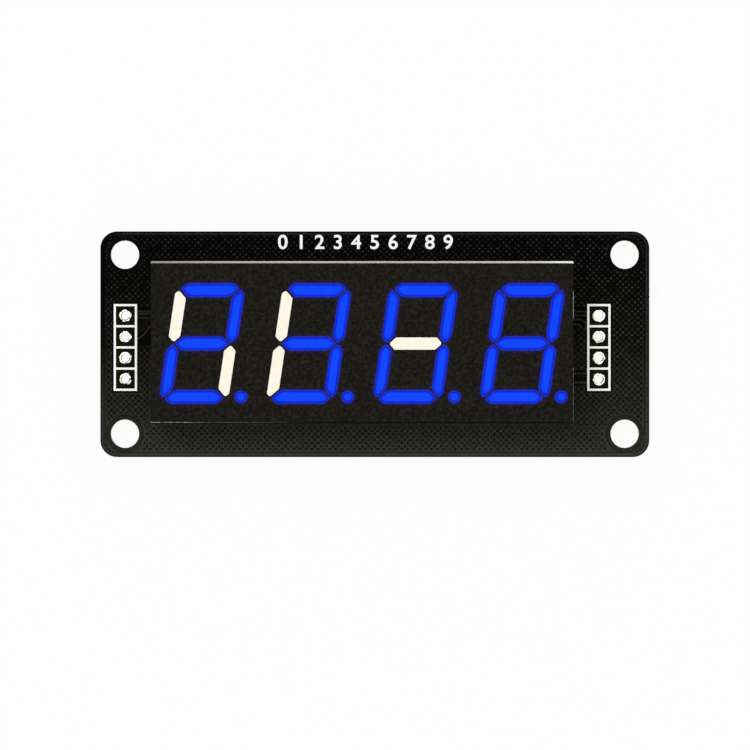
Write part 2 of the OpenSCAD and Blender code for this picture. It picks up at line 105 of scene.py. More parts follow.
# Places on the board's rear, seen from the front
LEAD_COUNT, LEAD_PITCH = 10, 1.27
LEAD_END = box_mm("driver_chip_leads")[1].y - DISPLAY.y
LEAD_REACH = LEAD_END + 0.3
LEAD_FOOT_IN = LEAD_END - 0.6
PIN_OFF = (PIN_ROW_LOW.y + PIN_ROW_HIGH.y) / 2 - DISPLAY.y
SMALL_PARTS = ["clock_capacitor", "data_capacitor", "clock_pull_up_resistor", "data_pull_up_resistor"]
SMALL_X = middle(SMALL_PARTS[0]).x
SMALL_Y = [middle(node).y for node in SMALL_PARTS]
BULK_X, BULK_Y, _ = middle("bulk_capacitor")
BYPASS_Y = middle("bypass_capacitor").y
SMALL_PAD_X, BULK_PAD_X = 1.1, 1.9

# Outlines on the board's copper layers
RELIEF_T = 0.025
POUR_INSET = 0.6
POUR_BORDER = 0.25
SCREW_CLEARANCE_R = 2.28
EDGE_LINE_IN, EDGE_LINE_W = 0.2, 0.24
HATCH_PITCH = 0.508
HATCH_LINE = 0.25
TRACK_W = 0.28
TRACK_GAP = 0.25
FINE_TRACK_W = 0.2
VIA_R, VIA_SIDES = 0.32, 20


def srgb(*channels):
    """A colour given as 0 to 255 display values, as the linear one that shaders take."""
    def linear(value):
        value /= 255
        return value / 12.92 if value <= 0.04045 else ((value + 0.055) / 1.055) ** 2.4
    return (*[linear(c) for c in channels], 1.0)


# How the light of a lit segment grows from the black face round it to its middle; over the black face
# round a lit segment the same ramp is a painted glow
GLOW_REACH = 0.6
GLOW = [
    (0.0, srgb(0, 0, 0)),
    (0.1, srgb(0, 0, 14)),
    (0.2, srgb(0, 0, 28)),
    (0.3, srgb(0, 0, 50)),
    (0.4, srgb(3, 7, 90)),
    (0.48, srgb(38, 50, 176)),
    (0.55, srgb(6, 28, 200)),
    (0.62, srgb(0, 38, 236)),
    (0.7, srgb(6, 63, 251)),
    (0.8, srgb(10, 70, 251)),
    (1.0, srgb(11, 70, 251)),
]
# How far the lit area keeps inside an upright's sides, inside the segments' outer cuts and inside
# the other slanting ends of the level segments, and how round its corners are
LIT_INSET, LIT_CUT_INSET, LIT_END_INSET = 0.05, 0.06, 0.04
LIT_ROUNDING = 0.45
# How far below its outer side a bar's outer cut is at the tip, with the cut taken at 45 degrees
BAR_CUT_DROP = 0.5


class Surface:
    """A material in the making: a Principled shader and the nodes that feed it."""

    def __init__(self, name, base=None, roughness=0.5, **sockets):
        self.material = bpy.data.materials.new(name)
        self.material.use_nodes = True
        self.tree = self.material.node_tree
        self.shader = self.tree.nodes["Principled BSDF"]
        if base:
            self.set("Base Color", base)
        self.set("Roughness", roughness)
        for socket, value in sockets.items():
            self.set(socket.replace("_", " "), value)
        coordinates = self.tree.nodes.new("ShaderNodeTexCoord")
        self.place = self.vector("SCALE", coordinates.outputs["Object"], scale=TO_MM)

    def set(self, socket, value):
        self.feed(self.shader.inputs[socket], value)

    def feed(self, socket, value):
        if isinstance(value, bpy.types.NodeSocket):
            self.tree.links.new(value, socket)
        else:
            socket.default_value = value

    def node(self, kind, output, inputs, **settings):
        node = self.tree.nodes.new(kind)
        for key, value in settings.items():
            setattr(node, key, value)
        for key, value in inputs.items():
            self.feed(node.inputs[key], value)
        return node.outputs[output]

    def math(self, operation, *values):
        return self.node("ShaderNodeMath", 0, dict(enumerate(values)), operation=operation)

    def vector(self, operation, *values, scale=None):
        inputs = dict(enumerate(values))
        if scale is not None:
            inputs["Scale"] = scale
        return self.node("ShaderNodeVectorMath", "Vector", inputs, operation=operation)

    def axes(self, vector=None):
        node = self.tree.nodes.new("ShaderNodeSeparateXYZ")
        self.feed(node.inputs[0], vector or self.place)
        return node.outputs

    def noise(self, scale, detail=2.0, stretch=None, roughness=0.5):
        place = self.place
        if stretch:
            place = self.vector("MULTIPLY", place, stretch)
        inputs = {"Vector": place, "Scale": scale, "Detail": detail, "Roughness": roughness}
        return self.node("ShaderNodeTexNoise", "Fac", inputs)

    def band(self, value, low, high, to_low=0.0, to_high=1.0):
        inputs = {"Value": value, "From Min": low, "From Max": high, "To Min": to_low, "To Max": to_high}
        return self.node("ShaderNodeMapRange", 0, inputs)

    def ramp(self, value, stops):
        node = self.tree.nodes.new("ShaderNodeValToRGB")
        elements = node.color_ramp.elements
        while len(elements) < len(stops):
            elements.new(0.5)
        for element, (position, colour) in zip(elements, stops):
            element.position = position
            element.color = colour
        self.feed(node.inputs[0], value)
        return node.outputs["Color"]

    def mix(self, factor, first, second):
        node = self.tree.nodes.new("ShaderNodeMix")
        node.data_type = "RGBA"
        self.feed(node.inputs["Factor"], factor)
        self.feed(node.inputs["A"], first)
        self.feed(node.inputs["B"], second)
        return node.outputs["Result"]

    def bump(self, height, depth_mm):
        inputs = {"Height": height, "Distance": depth_mm * MM, "Strength": 1.0}
        self.set("Normal", self.node("ShaderNodeBump", 0, inputs))

    def larger(self, *values):
        result = values[0]
        for value in values[1:]:
            result = self.math("MAXIMUM", result, value)
        return result

    def smaller(self, *values):
        """The smallest value, eased over where two of them meet, so that outlines get round corners."""
        result = values[0]
        for value in values[1:]:
            result = self.math("SMOOTH_MIN", result, value, LIT_ROUNDING)
        return result

    def segment_depths(self):
        """How far the point lies inside the nearest segment of each kind, in mm; negative outside."""
        x, y, _ = self.axes()
        lean = math.tan(math.radians(SLANT))
        upright = self.math("SUBTRACT", y, DIGITS_Y)
        along = self.math("SUBTRACT", x, DISPLAY.x + DIGIT_PITCH / 2)
        along = self.math("SUBTRACT", along, self.math("MULTIPLY", upright, lean))
        cell_low = POINT_X + POINT_D - DIGIT_PITCH
        along = self.math("WRAP", along, cell_low, cell_low + DIGIT_PITCH)
        ax, ay = self.math("ABSOLUTE", along), self.math("ABSOLUTE", upright)
        inner_x, outer_x = UPRIGHT_X - UPRIGHT_W / 2, UPRIGHT_X + UPRIGHT_W / 2
        inner_y, outer_y = DIGIT_H / 2 - BAR_W, DIGIT_H / 2
        mitre = inner_y - inner_x - MITRE_SHIFT
        half_gap = MITRE_GAP / math.sqrt(2)

        def within(level, value):
            return self.math("SUBTRACT", level, value)

        def beyond(level, value):
            return self.math("SUBTRACT", value, level)

        def sloping(distance, inset=0.0):
            return self.math("SUBTRACT", self.math("MULTIPLY", distance, math.sqrt(0.5)), inset)

        rise = self.math("SUBTRACT", ay, ax)
        total = self.math("ADD", ay, ax)
        bar_tip = outer_y - BAR_TIP_DROP - (mitre + half_gap)
        bars = self.smaller(
            beyond(inner_y, ay),
            within(outer_y, ay),
            sloping(beyond(mitre + half_gap, rise), LIT_END_INSET),
            sloping(within(bar_tip + outer_y - BAR_CUT_DROP, total), LIT_CUT_INSET),
        )
        upright_tip = outer_x - UPRIGHT_TIP_RUN
        off_axis = self.math("SUBTRACT", ax, UPRIGHT_X)
        uprights = self.smaller(
            within(outer_x - LIT_INSET, ax),
            beyond(inner_x + LIT_INSET, ax),
            sloping(within(mitre - half_gap, rise)),
            sloping(within(2 * upright_tip + mitre - half_gap, total), LIT_CUT_INSET),
            sloping(beyond(TIP_GAP / 2, self.math("SUBTRACT", ay, off_axis))),
            sloping(beyond(TIP_GAP / 2, self.math("ADD", ay, off_axis))),
        )
        middle_tip = UPRIGHT_X + TIP_GAP / 2 - 2 * half_gap
        middle_bar = self.smaller(
            within(BAR_W / 2, ay),
            sloping(within(middle_tip, total), LIT_END_INSET),
        )
        below = self.math("ADD", upright, (DIGIT_H - BAR_W) / 2)
        aside = self.math("SUBTRACT", along, POINT_X)
        aside = self.math("ADD", aside, self.math("MULTIPLY", below, lean))
        squares = self.math("ADD", self.math("POWER", aside, 2), self.math("POWER", below, 2))
        points = within(POINT_D / 2, self.math("SQRT", squares))
        return {"bars": bars, "uprights": uprights, "middle": middle_bar, "points": points}

    def glow(self, depths):
        """The light of a lit segment, from its middle out to the black face round it."""
        depth = self.larger(*depths.values())
        return self.ramp(self.band(depth, -GLOW_REACH, GLOW_REACH), GLOW)


def lit_segment():
    surface = Surface("segment_lit", srgb(3, 4, 10), 0.35, Specular_IOR_Level=0.02)
    surface.set("Emission Color", surface.glow(surface.segment_depths()))
    surface.set("Emission Strength", surface.band(surface.noise(0.7, 2.0), 0.3, 0.7, 0.96, 1.04))
    surface.bump(surface.noise(1.2), 0.01)
    return surface.material


def unlit_segment():
    surface = Surface("segment_unlit", None, 0.4, Specular_IOR_Level=0.3)
    shades = [(0.3, srgb(245, 238, 219)), (0.7, srgb(250, 244, 229))]
    surface.set("Base Color", surface.ramp(surface.noise(1.6, 3.0), shades))
    surface.bump(surface.noise(2.5, 2.0), 0.01)
    return surface.material


def face_ink():
    """Matte black ink, warm and mottled, with the glow of the lit segments painted on round them as
    emission.
    """
    surface = Surface("face", None, 0.55, Specular_IOR_Level=0.01)
    shades = [(0.3, srgb(18, 16, 12)), (0.5, srgb(28, 26, 21)), (0.7, srgb(41, 39, 33))]
    surface.set("Base Color", surface.ramp(surface.noise(2.6, 3.0, roughness=0.7), shades))
    x, y, _ = surface.axes()
    depths = surface.segment_depths()
    above = surface.math("SUBTRACT", y, DIGITS_Y)
    # No painted glow is put on the face round the unlit segments
    for node in UNLIT:
        low, high = box_mm(node)
        off = surface.math("ABSOLUTE", surface.math("SUBTRACT", x, (low.x + high.x) / 2))
        dark = surface.math("LESS_THAN", off, (high.x - low.x) / 2 + GLOW_REACH)
        kind = {"a": "bars", "d": "bars", "g": "middle"}.get(node[-1], "uprights")
        if kind != "middle":
            side = math.copysign(1.0, (low.y + high.y) / 2 - DIGITS_Y)
            same_half = surface.math("GREATER_THAN", surface.math("MULTIPLY", above, side), 0.0)
            dark = surface.math("MULTIPLY", dark, same_half)
        depths[kind] = surface.math("SUBTRACT", depths[kind], dark)
    # The face glows with this painted glow, though it is no lamp
    surface.set("Emission Color", surface.glow(depths))
    surface.set("Emission Strength", 1.0)
    surface.bump(surface.noise(14.0, 2.0), 0.006)
    return surface.material


# How bare the housing's rim is along its bottom, from left to right, and up its right side
BARE_BOTTOM = [(0.0, 1.0), (0.09, 1.0), (0.11, 0.3), (0.2, 0.26), (0.36, 0.0)]
BARE_RIGHT = [
    (0.0, 0.26), (0.3, 0.3), (0.33, 0.5), (0.34, 0.0),
    (0.64, 0.0), (0.65, 0.92), (0.8, 0.92), (0.82, 0.0),
]
# The greys of its bare top strip, from left to right
TOP_STRIP = [
    (0.0, (164, 160, 150)), (0.12, (184, 180, 169)), (0.3, (202, 198, 187)),
    (0.6, (196, 192, 180)), (0.9, (212, 209, 200)), (0.97, (252, 250, 244)),
]
# The width of its rim at the bottom and on the right, and how far off a face still counts as on it
SIDE_RIM_W, SLACK = 0.1, 0.02


def moulded_housing():
    """White moulding, with the ink that runs over its rim on three sides of the face."""
    surface = Surface("housing", None, 0.38, Specular_IOR_Level=0.05)
    x, y, z = surface.axes()
    cloud = surface.noise(0.6, 4.0)
    plastic = surface.ramp(cloud, [(0.3, srgb(225, 224, 219)), (0.7, srgb(234, 233, 229))])
    on_rim = surface.math("GREATER_THAN", z, HOUSING_HIGH.z - SLACK)
    run = surface.band(x, HOUSING_LOW.x, HOUSING_HIGH.x)
    strip = surface.ramp(run, [(place, srgb(*shade)) for place, shade in TOP_STRIP])
    worn = surface.band(surface.noise(4.0, 4.0), 0.45, 0.75, 0.0, 0.4)
    strip = surface.mix(worn, strip, srgb(110, 107, 98))
    bottom = surface.ramp(run, [(p, (v, v, v, 1.0)) for p, v in BARE_BOTTOM])
    bottom = surface.math("MULTIPLY", bottom, surface.math("LESS_THAN", y, HOUSING_LOW.y + SIDE_RIM_W))
    rise = surface.band(y, HOUSING_LOW.y, HOUSING_HIGH.y)
    right = surface.ramp(rise, [(p, (v, v, v, 1.0)) for p, v in BARE_RIGHT])
    right = surface.math("MULTIPLY", right, surface.math("GREATER_THAN", x, HOUSING_HIGH.x - SIDE_RIM_W))
    chipped = surface.band(surface.noise(2.4, 3.0), 0.36, 0.56, 0.25, 1.0)
    bare = surface.math("MULTIPLY", surface.larger(bottom, right), chipped)
    rim = surface.mix(bare, srgb(10, 10, 7), plastic)
    at_top = surface.math("GREATER_THAN", y, HOUSING_HIGH.y - BARE_TOP - SLACK)
    rim = surface.mix(at_top, rim, strip)
    surface.set("Base Color", surface.mix(on_rim, plastic, rim))
    surface.bump(surface.noise(9.0, 3.0), 0.008)
    return surface.material


# Tones from the board's top to its bottom, their change down the board a painted reflection: on bare
# laminate at its edges and screw holes, and for the painted light and shade of a step in the mask round
# each screw hole
BARE_LAND = [(8, 7, 6), (4, 4, 3), (11, 11, 9), (30, 31, 27), (42, 42, 36)]
SCREW_STEP_SHADING = [(32, 31, 29), (28, 28, 25), (24, 24, 21), (23, 23, 20), (20, 20, 17)]
# The same on copper: the pours, and tracks, these lighter partly by their own tone and partly by a
# painted sheen
POUR_SHADES = [(1, 1, 1), (6, 6, 5), (18, 17, 14), (34, 34, 29), (50, 51, 44)]
TRACK_SHADES = [(31, 30, 28), (38, 38, 35), (40, 40, 36), (46, 46, 41), (60, 59, 52)]
# The same on the rest of the board, darker than the bare land partly by the mask's own tone and partly by
# painted shade in the hatch's openings, and the tone inside the header rows' frames
BOARD_SHADES = [(1, 1, 1), (2, 2, 1), (5, 5, 4), (14, 14, 11), (26, 26, 21)]
HEADER_TONE = srgb(19, 19, 13)
# The radius of the painted step, and how far to its sides its painted light and shade starts and is full
SCREW_STEP_R, SCREW_STEP_FADE = SCREW_CLEARANCE_R - 0.08, (0.1, 0.04)
# The painted highlight along the board's lower edge, and how far off the edge it starts and is full
EDGE_HIGHLIGHT_TONE, EDGE_HIGHLIGHT_FADE = srgb(54, 53, 46), (0.6, 0.1)
# The painted highlights where the hatch's lines cross: their tone, and their outer and inner reach in
# pitches
CROSSING_HIGHLIGHT_TONE, CROSSING_HIGHLIGHT_REACH = srgb(55, 55, 52), (0.34, 0.14)
# How far from the board's left edge the tracks start to show against the painted dark reflection there,
# and show in full
TRACKS_SEEN = (0.6, 3)
# The header tin's painted shade, a dark arc, reaches this far off the hole's wall, to where it fades and
# where it's full
SHADED_ARC_REACH = (0.15, 0.04)
# The mask over the pads' rims: how ragged it is, how much further in it reaches in the left row, and
# how far off the pad's own rim it starts and is full
MASK_RAGGED, MASK_FURTHER, MASK_FADE = 0.14, 0.05, (-0.05, 0.01)


def even_stops(shades):
    """Evenly spaced stops of a ramp."""
    return [(i / (len(shades) - 1), srgb(*shade)) for i, shade in enumerate(shades)]


def mask_tone(surface, shades):
    """Black solder mask, deepest at the board's top left and greyer towards its lower edge: a painted
    reflection.
    """
    x, y, _ = surface.axes()
    height = surface.band(y, BOARD_HIGH.y, BOARD_LOW.y, 0.0, 0.98)
    level = surface.math("ADD", height, surface.band(x, BOARD_LOW.x, BOARD_HIGH.x, 0.0, 0.02))
    # Painted reflection: the tone grows lighter down the board and a little to the right
    tone = surface.ramp(level, even_stops(shades))
    speckle = surface.band(surface.noise(3.6, 4.0, roughness=0.75), 0.3, 0.7, 0.3, 1.7)
    tone = surface.vector("SCALE", tone, scale=speckle)
    # A painted highlight along the board's lower edge
    rim = surface.band(y, BOARD_LOW.y + EDGE_HIGHLIGHT_FADE[0], BOARD_LOW.y + EDGE_HIGHLIGHT_FADE[1])
    return surface.mix(rim, tone, EDGE_HIGHLIGHT_TONE), level


def board_mask():
    """The board: black mask on both faces, and pale glass laminate on its sawn edges and hole walls."""
    surface = Surface("board_mask", None, 0.34, Specular_IOR_Level=0.01)
    tone, level = mask_tone(surface, BOARD_SHADES)
    x, y, _ = surface.axes()
    for header_x in HEADER_X:
        off_x = surface.math("ABSOLUTE", surface.math("SUBTRACT", x, header_x))
        off_y = surface.math("ABSOLUTE", surface.math("SUBTRACT", y, (HEADER_Y[0] + HEADER_Y[-1]) / 2))
        inside_x = surface.math("LESS_THAN", off_x, PITCH / 2)
        inside = surface.math("MULTIPLY", inside_x, surface.math("LESS_THAN", off_y, 2 * PITCH))
        tone = surface.mix(inside, tone, HEADER_TONE)
    ax, ay = surface.math("ABSOLUTE", x), surface.math("ABSOLUTE", y)
    off_screw = [surface.math("SUBTRACT", ax, SCREW_X), surface.math("SUBTRACT", ay, SCREW_Y)]
    squares = [surface.math("POWER", off, 2.0) for off in off_screw]
    reach = surface.math("SQRT", surface.math("ADD", *squares))
    edge_x = surface.math("GREATER_THAN", ax, BOARD_HIGH.x - POUR_INSET)
    edge_y = surface.math("GREATER_THAN", ay, BOARD_HIGH.y - POUR_INSET)
    land = surface.larger(edge_x, edge_y, surface.math("LESS_THAN", reach, SCREW_CLEARANCE_R))
    tone = surface.mix(land, tone, surface.ramp(level, even_stops(BARE_LAND)))
    # Painted light and shade of a step in the mask round each screw hole, lighter at the top
    off_step = surface.math("ABSOLUTE", surface.math("SUBTRACT", reach, SCREW_STEP_R))
    ring = surface.band(off_step, *SCREW_STEP_FADE)
    ring = surface.math("MULTIPLY", ring, surface.band(surface.noise(0.5, 1.0), 0.42, 0.58, 0.1, 0.9))
    tone = surface.mix(ring, tone, surface.ramp(level, even_stops(SCREW_STEP_SHADING)))
    normal = surface.node("ShaderNodeNewGeometry", "Normal", {})
    _, _, facing = surface.axes(normal)
    on_face = surface.math("GREATER_THAN", surface.math("ABSOLUTE", facing), 0.5)
    plies = surface.noise(1.4, 4.0, (0.5, 0.5, 14.0))
    glass = [(0.3, srgb(180, 172, 130)), (0.5, srgb(196, 189, 147)), (0.7, srgb(207, 200, 160))]
    surface.set("Base Color", surface.mix(on_face, surface.ramp(plies, glass), tone))
    surface.bump(surface.noise(6.0, 4.0), 0.006)
    return surface.material


def masked_copper(name, shades):
    """Copper under the mask: the surface, its tone, and how far down the board a point is."""
    surface = Surface(name, None, 0.3, Specular_IOR_Level=0.01)
    tone, level = mask_tone(surface, shades)
    surface.set("Base Color", tone)
    surface.bump(surface.noise(5.0, 4.0), 0.008)
    return surface, tone, level


def masked_hatch():
    """Hatched copper under the mask, with faint painted highlights where its lines cross."""
    surface, tone, level = masked_copper("masked_hatch", POUR_SHADES)
    x, y, _ = surface.axes()
    across = surface.math("MULTIPLY", surface.math("ADD", x, y), math.sqrt(0.5) / HATCH_PITCH)
    along = surface.math("MULTIPLY", surface.math("SUBTRACT", x, y), math.sqrt(0.5) / HATCH_PITCH)
    squares = []
    for value in (across, along):
        off = surface.math("SUBTRACT", surface.math("FLOORED_MODULO", value, 1.0), 0.5)
        squares.append(surface.math("POWER", surface.math("ABSOLUTE", off), 2.0))
    # Painted highlights at the crossings, fading towards the board's top left
    spot = surface.band(surface.math("SQRT", surface.math("ADD", *squares)), *CROSSING_HIGHLIGHT_REACH)
    patchy = surface.band(surface.noise(1.1, 3.0), 0.38, 0.64, 0.1, 1.0)
    off_top = surface.band(level, 0.05, 0.4, 0.75, 1.0)
    off_left = surface.larger(surface.band(x, BOARD_LOW.x, BOARD_HIGH.x, 0.75, 1.0), level)
    fade = surface.math("MULTIPLY", off_top, off_left)
    spot = surface.math("MULTIPLY", surface.math("MULTIPLY", spot, patchy), fade)
    surface.set("Base Color", surface.mix(spot, tone, CROSSING_HIGHLIGHT_TONE))
    return surface.material


def masked_track():
    """Tracks and the board's edge line: lighter, partly by their own tone and partly by a painted sheen,
    but lost in the painted dark reflection at the board's top left.
    """
    surface, tone, level = masked_copper("masked_track", TRACK_SHADES)
    x, _, _ = surface.axes()
    # The tracks are darkened towards the board's top left with the painted reflection
    off_left = surface.band(x, BOARD_LOW.x + TRACKS_SEEN[0], BOARD_LOW.x + TRACKS_SEEN[1], 0.05, 1.0)
    off_top = surface.band(level, 0.4, 0.75, 0.0, 0.8)
    seen = surface.larger(off_left, off_top)
    surface.set("Base Color", surface.vector("SCALE", tone, scale=seen))
    return surface.material


def header_tinning():
    """Bright tin with painted shade, a dark arc, at each header hole's lower right, and mask run over the
    pad's rim.
    """
    surface = Surface("header_tinning", None, 0.3, Specular_IOR_Level=0.05)
    x, y, _ = surface.axes()
    on_left = surface.math("LESS_THAN", x, 0.0)
    shift = surface.math("MULTIPLY", on_left, HEADER_X[0] - HEADER_X[1])
    aside = surface.math("SUBTRACT", surface.math("SUBTRACT", x, HEADER_X[1]), shift)
    up = surface.math("WRAP", surface.math("SUBTRACT", y, HEADER_Y[0]), PITCH / 2, -PITCH / 2)
    squares = [surface.math("MULTIPLY", off, off) for off in (aside, up)]
    reach = surface.math("SQRT", surface.math("ADD", *squares))
    lower_right = surface.math("DIVIDE", surface.math("SUBTRACT", aside, up), reach)
    uneven = surface.band(surface.noise(0.9, 1.0), 0.3, 0.7, -0.7, 0.7)
    shaded_side = surface.band(surface.math("ADD", lower_right, uneven), 0.9, 1.3)
    beside = surface.band(reach, HEADER_HOLE_R + SHADED_ARC_REACH[0], HEADER_HOLE_R + SHADED_ARC_REACH[1])
    warm_to_white = [(0.0, srgb(232, 230, 196)), (1.0, srgb(253, 253, 248))]
    light = surface.ramp(surface.band(aside, -0.7, 0.2), warm_to_white)
    # Painted shade: the dark arc on the tin's side turned away from the light
    tinned = surface.mix(surface.math("MULTIPLY", shaded_side, beside), light, srgb(34, 33, 26))
    uneven_rim = surface.band(surface.noise(1.8, 2.0), 0.3, 0.7, -MASK_RAGGED, MASK_RAGGED)
    ragged = surface.math("ADD", reach, uneven_rim)
    ragged = surface.math("ADD", ragged, surface.math("MULTIPLY", on_left, MASK_FURTHER))
    masked = surface.band(ragged, HEADER_PAD_R + MASK_FADE[0], HEADER_PAD_R + MASK_FADE[1])
    surface.set("Base Color", surface.mix(masked, tinned, HEADER_TONE))
    surface.set("Metallic", surface.math("SUBTRACT", 1.0, masked))
    surface.bump(surface.noise(3.0, 3.0), 0.02)
    return surface.material


def white_print():
    surface = Surface("print", None, 0.6, Specular_IOR_Level=0.15)
    grain = surface.noise(7.0, 4.0)
    shades = [(0.3, srgb(243, 243, 241)), (0.6, srgb(253, 253, 252))]
    surface.set("Base Color", surface.ramp(grain, shades))
    surface.bump(grain, 0.006)
    return surface.material


def tin(name, light, dark, roughness, lumps, depth):
    """Tinned or soldered metal with slow lumps and dull spots."""
    surface = Surface(name, None, roughness, Metallic=1.0)
    spots = surface.noise(4.0, 4.0)
    surface.set("Base Color", surface.ramp(spots, [(0.32, dark), (0.6, light)]))
    surface.set("Roughness", surface.band(spots, 0.3, 0.7, roughness + 0.12, roughness - 0.06))
    surface.bump(surface.noise(lumps, 3.0), depth)
    return surface.material


def drawn_pin():
    """Tinned pins with the fine lines that drawing the wire leaves along them."""
    surface = Surface("tinned_pin", None, 0.28, Metallic=1.0)
    lines = surface.noise(6.0, 3.0, (3.0, 3.0, 0.15))
    shades = [(0.3, srgb(176, 174, 168)), (0.7, srgb(216, 215, 211))]
    surface.set("Base Color", surface.ramp(lines, shades))
    surface.bump(lines, 0.006)
    return surface.material


def moulded_chip():
    surface = Surface("chip_body", None, 0.62, Specular_IOR_Level=0.3)
    grain = surface.noise(9.0, 5.0, roughness=0.8)
    shades = [(0.3, srgb(30, 30, 31)), (0.7, srgb(48, 48, 49))]
    surface.set("Base Color", surface.ramp(grain, shades))
    surface.bump(grain, 0.02)
    return surface.material


def ceramic(name, dark, light, roughness):
    surface = Surface(name, None, roughness, Specular_IOR_Level=0.4)
    grain = surface.noise(5.0, 5.0)
    surface.set("Base Color", surface.ramp(grain, [(0.3, dark), (0.7, light)]))
    surface.bump(grain, 0.008)
    return surface.material


UNLIT = [sub["node"] for sub in frame["record"]["subparts"] if sub["material_slot"] == "segment_unlit"]
MATERIALS = {
    "segment_lit": lit_segment(),
    "segment_unlit": unlit_segment(),
    "housing": moulded_housing(),
    "face": face_ink(),
    "carrier_laminate": ceramic("carrier_laminate", srgb(186, 176, 118), srgb(214, 206, 156), 0.5),
    "led_chip": ceramic("led_chip", srgb(208, 190, 110), srgb(232, 218, 150), 0.25),
    "backfill_resin": ceramic("backfill_resin", srgb(214, 202, 168), srgb(232, 224, 196), 0.2),
    "tinned_pin": drawn_pin(),
    "tinned_copper": tin("tinned_copper", srgb(238, 238, 232), srgb(198, 197, 190), 0.32, 3.0, 0.02),
    "solder": tin("solder", srgb(226, 226, 224), srgb(178, 178, 176), 0.22, 1.6, 0.03),
    "board_mask": board_mask(),
    "print": white_print(),
    "chip_body": moulded_chip(),
    "capacitor_body": ceramic("capacitor_body", srgb(150, 112, 74), srgb(176, 138, 98), 0.45),
    "resistor_body": ceramic("resistor_body", srgb(20, 20, 22), srgb(34, 34, 36), 0.35),
}
HATCH = masked_hatch()
FILL = masked_copper("masked_fill", POUR_SHADES)[0].material
TRACK = masked_track()
TINNING = header_tinning()

for sub in frame["record"]["subparts"]:
    is_tinned = sub["node"].endswith("header_pads")
    for slot in frame["nodes"][sub["node"]].material_slots:
        slot.material = TINNING if is_tinned else MATERIALS[sub["material_slot"]]


def piece(name, vertices, faces, material):
    """A piece of the object from points in millimetres."""
    mesh = bpy.data.meshes.new(name)
    mesh.from_pydata([Vector(v) * MM for v in vertices], [], faces)
    mesh.validate()
    mesh.update()
    mesh.materials.append(material)
    obj = bpy.data.objects.new(name, mesh)
    bpy.context.scene.collection.objects.link(obj)
    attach(obj, "root")
    return obj


def circle(centre, radius, count=32):
    angles = [2 * math.pi * i / count for i in range(count)]
    return [(centre[0] + radius * math.cos(a), centre[1] + radius * math.sin(a)) for a in angles]


def rectangle(low_x, low_y, high_x, high_y):
    return [(low_x, low_y), (high_x, low_y), (high_x, high_y), (low_x, high_y)]


def rounded_board(inset, count=8):
    """The board's outline, moved in by inset."""
    radius = BOARD_CORNER_R - inset
    outline = []
    for quarter, (sx, sy) in enumerate([(1, 1), (-1, 1), (-1, -1), (1, -1)]):
        cx = sx * (BOARD_HIGH.x - BOARD_CORNER_R)
        cy = sy * (BOARD_HIGH.y - BOARD_CORNER_R)
        for i in range(count + 1):
            angle = math.pi / 2 * (quarter + i / count)
            outline.append((cx + radius * math.cos(angle), cy + radius * math.sin(angle)))
    return outline


# The outlines are cut into triangles, and points this near each other count as one
CUT_TRIANGLES, CUT_EPSILON = 1, 1e-6


def raised(name, shapes, is_solid, low_z, high_z, material):
    """A closed relief on the board where is_solid holds for the tags of the shapes that cover a spot."""
    points, faces, tags = [], [], []
    for tag, outline in shapes:
        faces.append(list(range(len(points), len(points) + len(outline))))
        points += [Vector(p) for p in outline]
        tags.append(tag)
    flat, _, cells, _, _, origins = delaunay_2d_cdt(points, [], faces, CUT_TRIANGLES, CUT_EPSILON, True)
    kept = [cell for cell, origin in zip(cells, origins) if is_solid({tags[i] for i in origin})]
    used = sorted({i for cell in kept for i in cell})
    index = {old: new for new, old in enumerate(used)}
    kept = [[index[i] for i in cell] for cell in kept]
    count = len(used)
    vertices = [(*flat[i], high_z) for i in used] + [(*flat[i], low_z) for i in used]
    inner = {(b, a) for cell in kept for a, b in zip(cell, cell[1:] + cell[:1])}
    walls = [
        [b, a, a + count, b + count]
        for cell in kept
        for a, b in zip(cell, cell[1:] + cell[:1])
        if (a, b) not in inner
    ]
    below = [[i + count for i in reversed(cell)] for cell in kept]
    piece(name, vertices, kept + below + walls, material)


def is_copper(tags):
    return "copper" in tags


def grown(outline_box, by):
    low_x, low_y, high_x, high_y = outline_box
    return (low_x - by, low_y - by, high_x + by, high_y + by)


def holds(zone, x, y, half):
    """Whether a diamond of that half width lies wholly in a zone."""
    low_x, low_y, high_x, high_y = zone
    return low_x < x - half and x + half < high_x and low_y < y - half and y + half < high_y


def hatch_openings(boxes, circles):
    """The diamond openings of the hatched copper, but for those wholly inside a clear zone."""
    half = (HATCH_PITCH - HATCH_LINE) / math.sqrt(2)
    step = HATCH_PITCH * math.sqrt(2)
    columns = int(BOARD_HIGH.x / step * 2) + 1
    rows = int(BOARD_HIGH.y / step * 2) + 1
    openings = []
    for column in range(-columns, columns + 1):
        for row in range(-rows, rows + 1):
            if (column + row) % 2:
                continue
            x, y = column * step / 2, row * step / 2
            if abs(x) > BOARD_HIGH.x - POUR_INSET or abs(y) > BOARD_HIGH.y - POUR_INSET:
                continue
            if any(holds(zone, x, y, half) for zone in boxes):
                continue
            if any(math.dist((x, y), centre) < radius - half for centre, radius in circles):
                continue
            openings.append(("opening", [(x + half, y), (x, y + half), (x - half, y), (x, y - half)]))
    return openings


